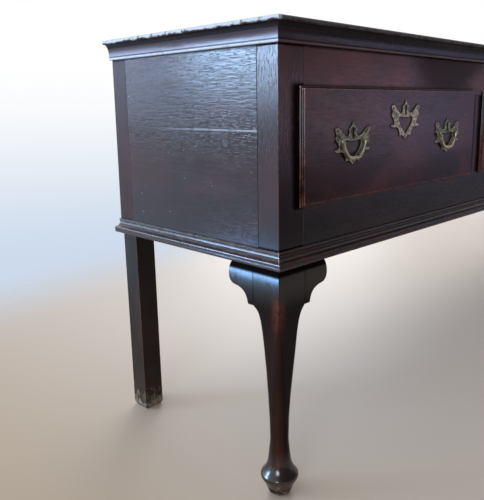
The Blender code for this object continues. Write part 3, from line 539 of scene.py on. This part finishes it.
def end_oak():
    """End boards, with flecks and a pale line, a painted highlight, where the upper board meets the lower."""
    wood = Oak("end_oak", "y", 0.4, dark=(0.022, 0.010, 0.017), warm=(0.042, 0.013, 0.019),
               coarse=0.8, wavy=0.05, fine=260.0, crisp=1.6)
    wood.lay_grain()
    wood.lay_flecks(0.5)
    # Painted highlight along the joint, fading towards the back
    line = wood.fall(wood.off(wood.z, BOARD_JOINT), 0.0007, 0.0016)
    line = wood.times(line, wood.spread(wood.y, -0.10, 0.16, 1.0, 0.15))
    wood.lay(wood.times(line, wood.spread(wood.mottle, 0.35, 0.55, 0.45, 1.0)), (0.66, 0.72, 0.82))
    # Painted shade in the closed corners
    wood.lay_painted_shade()
    return wood.finish(gloss=0.13, strength=wood.spread(wood.z, 0.57, 0.71, 0.078, 0.312))


def front_cove_oak():
    """The moulding under the front of the top."""
    wood = Oak("cornice_oak_x", "x", 7.4, dark=(0.007, 0.006, 0.010), warm=(0.030, 0.010, 0.016), coarse=0.6)
    wood.lay_grain()
    wood.wear_edges((0.16, 0.075, 0.070), 0.0015)
    wood.lay_bead((0.105, 0.055, 0.055))
    # Painted shade in the closed corners
    wood.lay_painted_shade()
    return wood.finish(shine=0.32)


def side_cove_oak():
    """The mouldings under the ends of the top, with a painted sheen at the foot of the cove."""
    wood = Oak("cove_oak_y", "y", 7.4, dark=(0.032, 0.011, 0.024), warm=(0.060, 0.016, 0.028), coarse=0.6)
    wood.lay_grain()
    wood.lay_flecks(0.5)
    # Painted sheen: pale blue at the foot of the cove
    painted_cove_sheen = wood.fall(wood.z, COVE_FOOT, COVE_FOOT + 0.016, 0.75)
    wood.lay(wood.times(painted_cove_sheen, wood.spread(wood.streak, 0.35, 0.60, 0.35, 1.0)), (0.35, 0.36, 0.49))
    # Painted highlight: the bead pale bluish white
    wood.lay_bead((0.62, 0.64, 0.72))
    # Painted shade in the closed corners
    wood.lay_painted_shade(0.005)
    return wood.finish(gloss=0.13)


def side_moulding_oak():
    """The base mouldings of the ends, with pale edges from wear and a painted highlight, pale lines along
    them as painted highlights, and brown below the nose.
    """
    wood = Oak("moulding_oak_y", "y", 7.4, dark=(0.024, 0.017, 0.028), warm=(0.050, 0.026, 0.038), coarse=0.6)
    wood.lay_grain()
    # Wear on the edges in a pale bluish grey that is partly a painted highlight
    wood.wear_edges((0.42, 0.43, 0.47))
    wood.lay_flecks(0.35)
    # Painted highlights: pale bluish lines along the grain
    wood.lay(wood.rise(wood.lines, 0.50, 0.62, 0.24), (0.30, 0.34, 0.42))
    wood.lay(wood.fall(wood.z, BASE_NOSE - 0.0030, BASE_NOSE - 0.0012, 0.85), (0.046, 0.018, 0.017))
    # Painted shade in the closed corners
    wood.lay_painted_shade(0.003)
    return wood.finish(gloss=0.13)


def top_oak():
    """The top of two planks, its nose bare and pale at the ends and less so at the front, the pale partly a
    painted highlight, with painted shade under the nose.
    """
    wood = Oak("top_oak", "x", 1.9, DARK_OAK, WARM_OAK, reds=(0.40, 0.80), clouds=0.16,
               planks=("y", TOP_JOINTS))
    wood.lay_grain()
    wood.wear_edges(WORN_OAK)
    ends = wood.rise(wood.sideways, CASE_HALF + 0.010, CASE_HALF + 0.017)
    front = wood.fall(wood.y, CASE_FRONT - 0.017, CASE_FRONT - 0.010, 0.12)
    foot = wood.ragged(wood.z, wood.mottle, 0.0025, 0.002)
    # Bare wood on the nose, its pale bluish grey partly a painted highlight
    bare = wood.times(wood.most(ends, front), wood.rise(foot, NOSE_FOOT - 0.001, NOSE_FOOT + 0.002))
    bare = wood.times(bare, wood.rise(wood.noise(wood.plain, 70.0, 3.0, 0.6), 0.30, 0.44))
    # Painted shade under the nose
    under = wood.fall(wood.z, NOSE_FOOT - 0.0035, NOSE_FOOT - 0.0012, 0.85)
    wood.lay(under, (0.007, 0.006, 0.010))
    wood.lay(bare, (0.60, 0.65, 0.68))
    wood.lay(wood.seam, (0.004, 0.003, 0.003))
    # Painted shade in the closed corners
    wood.lay_painted_shade(0.016)
    return wood.finish(gloss=0.40, shine=0.34, shares=[wood.spread(under, 0.0, 0.85, 1.0, 0.5)])


# Other materials

def dry_oak(name, grain, seed, planks=None):
    """Bare inner timber, brown with age."""
    wood = Timber(name, grain, seed, planks)
    along = wood.drawn(0.06)
    streak = wood.noise(along, 60.0, 5.0, 0.6, 0.5)
    lines = wood.noise(along, 330.0, 4.0, 0.6, 0.3)
    wood.colour = wood.mix(wood.rise(streak, 0.35, 0.68), (0.235, 0.140, 0.075), (0.135, 0.075, 0.040))
    wood.lay(wood.rise(lines, 0.50, 0.75, 0.6), (0.075, 0.042, 0.024))
    wood.lay(wood.rise(wood.noise(wood.plain, 9.0, 4.0, 0.6, 0.5), 0.48, 0.75, 0.7), (0.060, 0.038, 0.026))
    if wood.seam:
        wood.lay(wood.seam, (0.012, 0.008, 0.006))
    # Painted shade in the corners
    wood.lay(wood.corners(0.02, 0.45, 0.95, 0.8), (0.030, 0.020, 0.014))
    return wood.surface(wood.spread(lines, 0.3, 0.8, 0.62, 0.85), 0.4, 0.0006, lines)


def old_brass(name, dull, bright, rubbed, matt, keyhole=None):
    """Old cast brass: brighter where it is rubbed, dark and greenish in the corners, with painted shade about
    a keyhole.
    """
    brass = Look(name)
    cloud = brass.noise(brass.place, 190.0, 5.0, 0.65)
    brass.colour = brass.mix(brass.rise(cloud, 0.36, 0.64), dull, bright)
    brass.lay(brass.times(brass.edges(0.0022, 0.10), brass.spread(cloud, 0.30, 0.60, 0.6, 1.0)), rubbed)
    brass.lay(brass.corners(0.006, 0.2, 0.85, 0.85), (0.028, 0.028, 0.017))
    if keyhole:
        out, middle = keyhole
        # Painted shade about the keyhole, as dark as the hole
        height = brass.off(brass.z, middle + KEYHOLE_RISE)
        painted_keyhole_shade = brass.fall(brass.beside(out), 0.0024, 0.0044, 0.92)
        brass.lay(brass.times(painted_keyhole_shade, brass.fall(height, 0.0090, 0.0108)), (0.016, 0.014, 0.010))
    brass.shader.inputs["Metallic"].default_value = 1.0
    dents = brass.times(brass.noise(brass.place, 260.0, 2.0, 0.5), 5.0)
    cast = brass.plus(brass.noise(brass.place, 900.0, 3.0, 0.6), dents)
    return brass.surface(brass.spread(cloud, 0.3, 0.7, matt + 0.12, matt), 0.5, 0.0003, cast)


def make_looks():
    """Every material under the word that the tables of nodes use for it."""
    return {
        "rail": rail_oak(),
        "low_rail": plain_oak("low_rail_oak", "x", 3.3, (0.008, 0.005, 0.007), (0.026, 0.009, 0.009), 0.6),
        "front": drawer_oak(),
        "muntin": muntin_oak(),
        "leg": leg_oak(),
        "rear_leg": rear_leg_oak(),
        "end": end_oak(),
        "front_moulding": plain_oak("moulding_oak_x", "x", 7.4, (0.012, 0.006, 0.006), (0.042, 0.012, 0.010)),
        "side_moulding": side_moulding_oak(),
        "front_cove": front_cove_oak(),
        "side_cove": side_cove_oak(),
        "top": top_oak(),
        "inner_x": dry_oak("inner_oak_x", "x", 1.3),
        "inner_y": dry_oak("inner_oak_y", "y", 1.3),
        "back": dry_oak("back_oak", "x", 6.1, ("z", BACK_JOINTS)),
        "plate": old_brass("plate_brass", dull=(0.080, 0.083, 0.054), bright=(0.52, 0.51, 0.34),
                           rubbed=(0.97, 0.95, 0.76), matt=0.36, keyhole=(HANDLE_OUT, HANDLE_HEIGHT)),
        "escutcheon": old_brass("escutcheon_brass", dull=(0.20, 0.19, 0.125), bright=(0.86, 0.81, 0.59),
                                rubbed=(0.98, 0.95, 0.76), matt=0.34, keyhole=(0.0, ESCUTCHEON_HEIGHT)),
        "bail": old_brass("bail_brass", dull=(0.48, 0.44, 0.31), bright=(0.86, 0.80, 0.62),
                          rubbed=(0.94, 0.90, 0.74), matt=0.22),
    }


# CAD nodes, shown with rounded edges

def smooth_group():
    """Geometry nodes that drop the file's flat normals and shade every face smooth."""
    group = bpy.data.node_groups.new("shade_smooth", "GeometryNodeTree")
    group.interface.new_socket("Geometry", in_out="INPUT", socket_type="NodeSocketGeometry")
    group.interface.new_socket("Geometry", in_out="OUTPUT", socket_type="NodeSocketGeometry")
    graph = Graph(group)
    enter = graph.add("NodeGroupInput")
    bare = graph.add("GeometryNodeRemoveAttribute", {"Geometry": enter.outputs[0], "Name": "custom_normal"})
    smooth = graph.add("GeometryNodeSetShadeSmooth", {"Geometry": bare.outputs[0]})
    graph.add("NodeGroupOutput", {0: smooth.outputs[0]})
    return group


def round_edges(thing, width, angle):
    bevel = thing.modifiers.new("edges", "BEVEL")
    bevel.width = width
    bevel.segments = EDGE_SEGMENTS
    bevel.limit_method = "ANGLE"
    bevel.angle_limit = math.radians(angle)


def finish_node(thing, look, width, group):
    """Gives a CAD node its look, welds its facets, rounds its edges and shades it smooth."""
    thing.data.materials.clear()
    thing.data.materials.append(look)
    weld = thing.modifiers.new("weld", "WELD")
    weld.merge_threshold = WELD_DISTANCE
    flat = thing.modifiers.new("flat", "DECIMATE")
    flat.decimate_type = "DISSOLVE"
    flat.angle_limit = math.radians(FLAT_ANGLE)
    round_edges(thing, width, EDGE_ANGLE)
    smooth = thing.modifiers.new("smooth", "NODES")
    smooth.node_group = group
    thing.modifiers.new("normals", "WEIGHTED_NORMAL")


def finish_nodes(looks):
    """Gives every CAD node the look and the edges that the tables name for it."""
    group = smooth_group()
    for name in NODES:
        if name.startswith("drawer"):
            rows = [row for row in DRAWER_LOOKS if row[0] in name]
        else:
            rows = [row for row in NODE_LOOKS if name.startswith(row[0])]
        look, width = rows[0][1:]
        finish_node(NODES[name], looks[look], width, group)


# Fittings inside the drawers

def block(mesh, low, high):
    """Adds a box to a mesh, from its lowest to its highest corner."""
    made = bmesh.ops.create_cube(mesh, size=1.0)["verts"]
    for vert in made:
        vert.co = Vector([a + (b - a) * (c + 0.5) for a, b, c in zip(low, high, vert.co)])


def stud(mesh, place, size):
    """Adds a round stud with a domed end, standing towards +Y; its size is a radius and a length."""
    x, y, z = place
    radius, length = size
    rings = []
    for share, out in STUD_RINGS:
        ring = []
        for index in range(STUD_SIDES):
            turn = 2.0 * math.pi * index / STUD_SIDES
            across, up = radius * share * math.cos(turn), radius * share * math.sin(turn)
            ring.append(mesh.verts.new((x + across, y + length * out, z + up)))
        rings.append(ring)
    for first, second in zip(rings, rings[1:]):
        for index in range(STUD_SIDES):
            after = (index + 1) % STUD_SIDES
            mesh.faces.new((first[index], second[index], second[after], first[after]))
    mesh.faces.new(rings[0])
    mesh.faces.new(reversed(rings[-1]))


def fitting(name, mesh, look, body):
    """Turns a mesh into a piece that rides on a drawer."""
    bmesh.ops.recalc_face_normals(mesh, faces=mesh.faces)
    data = bpy.data.meshes.new(name)
    mesh.to_mesh(data)
    mesh.free()
    data.materials.append(look)
    piece = bpy.data.objects.new(name, data)
    bpy.context.scene.collection.objects.link(piece)
    round_edges(piece, FITTING_EDGE, FITTING_ANGLE)
    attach(piece, body)


def lock_mesh(middle, inside):
    """A lock with its plate, case and bolt, four screws and the pin for the key."""
    mesh = bmesh.new()
    for half, near, far, foot, head in LOCK_BOXES:
        block(mesh, (middle - half, inside + near, foot), (middle + half, inside + far, head))
    for side in (-1.0, 1.0):
        for height in SCREW_HEIGHTS:
            stud(mesh, (middle + side * SCREW_OUT, inside + SCREW_DEPTH, height), SCREW_SIZE)
    stud(mesh, (middle, inside + KEY_PIN_DEPTH, KEY_PIN_HEIGHT), KEY_PIN_SIZE)
    return mesh


def nuts_mesh(middle, inside):
    """The square nuts of both handles, with the ends of the posts."""
    mesh = bmesh.new()
    low, high = HANDLE_HEIGHT - NUT_HALF, HANDLE_HEIGHT + NUT_HALF
    for handle in (-HANDLE_OUT, HANDLE_OUT):
        for post in (-HANDLE_POST_OUT, HANDLE_POST_OUT):
            x = middle + handle + post
            block(mesh, (x - NUT_HALF, inside, low), (x + NUT_HALF, inside + NUT_THICK, high))
            stud(mesh, (x, inside + POST_END_DEPTH, HANDLE_HEIGHT), POST_END_SIZE)
    return mesh


def drawer_fittings(look):
    """A lock, and the nuts of the handles, on the inner face of each drawer front."""
    for word, middle in (("left", -DRAWER_PITCH), ("middle", 0.0), ("right", DRAWER_PITCH)):
        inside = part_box("drawer_%s_front" % word)[1][1]
        fitting("lock_" + word, lock_mesh(middle, inside), look, word + "_drawer")
        fitting("handle_nuts_" + word, nuts_mesh(middle, inside), look, word + "_drawer")


# Stage

def place_camera():
    yaw, pitch, roll = (math.radians(value) for value in (CAMERA_YAW, CAMERA_PITCH, CAMERA_ROLL))
    ahead = Vector((math.sin(yaw) * math.cos(pitch), math.cos(yaw) * math.cos(pitch), math.sin(pitch)))
    level = Vector((math.cos(yaw), -math.sin(yaw), 0.0))
    upright = level.cross(ahead)
    right = level * math.cos(roll) + upright * math.sin(roll)
    up = upright * math.cos(roll) - level * math.sin(roll)
    data = bpy.data.cameras.new("camera")
    data.lens = CAMERA_LENS
    data.shift_x, data.shift_y = CAMERA_SHIFT
    camera = bpy.data.objects.new("camera", data)
    bpy.context.scene.collection.objects.link(camera)
    turned = Matrix((right, up, -ahead)).transposed().to_4x4()
    camera.matrix_world = Matrix.Translation(CAMERA_PLACE) @ turned
    bpy.context.scene.camera = camera


def stage_floor():
    """A pale floor, darker and warmer towards the left as painted shade, that fades out into the light round
    it.
    """
    look = Look("floor")
    look.shader.inputs["Roughness"].default_value = 0.55
    # Painted shade: the floor darker and warmer towards the left
    colour = look.mix(look.rise(look.x, -1.7, -0.5), (0.465, 0.35, 0.235), (0.64, 0.56, 0.49))
    look.feed(look.shader.inputs["Base Color"], colour)
    away = look.vector("LENGTH", look.vector("MULTIPLY", look.place, (0.55, 1.0, 1.0)))
    clear = look.add("ShaderNodeBsdfTransparent").outputs[0]
    layers = {0: look.rise(away, 1.0, 1.7), 1: look.shader.outputs[0], 2: clear}
    fade = look.add("ShaderNodeMixShader", layers)
    look.feed(look.tree.nodes["Material Output"].inputs[0], fade.outputs[0])
    bpy.ops.mesh.primitive_circle_add(vertices=96, radius=4.0, fill_type="NGON")
    floor = bpy.context.object
    floor.name = "floor"
    floor.data.materials.append(look.material)


def room_light():
    """Bright behind and dim in front, with a glow at the front right; the camera sees a plain pale wall."""
    world = bpy.data.worlds.new("room")
    bpy.context.scene.world = world
    world.use_nodes = True
    room = Graph(world.node_tree)
    way = room.add("ShaderNodeTexCoord").outputs["Generated"]
    parts = room.add("ShaderNodeSeparateXYZ", {0: way}).outputs
    height = room.rise(parts["Z"], -0.26, 0.08)
    seen = room.mix(height, (0.60, 0.70, 0.84), WHITE)
    lit = room.mix(height, (0.70, 0.90, 1.04), WHITE)
    behind = room.rise(room.vector("DOT_PRODUCT", way, (0.0, 0.98, 0.2)), -0.45, 0.25)
    colour = room.mix(behind, (0.13, 0.12, 0.135), lit)
    tall = room.vector("MULTIPLY", way, (1.0, 1.0, 1.8))
    side = room.vector("DISTANCE", tall, (0.812, -0.58, -0.030))
    glow = room.mix(room.rise(parts["X"], 0.80, 0.91), (1.34, 1.10, 1.37), (1.08, 1.25, 2.55))
    colour = room.mix(room.fall(side, 0.03, 0.235), colour, glow)
    colour = room.mix(room.add("ShaderNodeLightPath").outputs["Is Camera Ray"], colour, seen)
    background = room.tree.nodes["Background"]
    room.feed(background.inputs["Color"], colour)
    background.inputs["Strength"].default_value = 1.0


def lamp(name, place, target, power, colour, size):
    """A window, as a bright rectangle that the camera doesn't see."""
    data = bpy.data.lights.new(name, "AREA")
    data.energy = power
    data.color = colour
    data.shape = "RECTANGLE"
    data.size, data.size_y = size
    light = bpy.data.objects.new(name, data)
    bpy.context.scene.collection.objects.link(light)
    light.location = place
    light.rotation_euler = (Vector(target) - Vector(place)).to_track_quat("-Z", "Y").to_euler()
    light.visible_camera = False


def build():
    place_camera()
    stage_floor()
    room_light()
    for window in WINDOWS:
        lamp(*window)
    bpy.context.scene.view_settings.view_transform = "Standard"
    looks = make_looks()
    drawer_fittings(looks["plate"])
    finish_nodes(looks)


build()
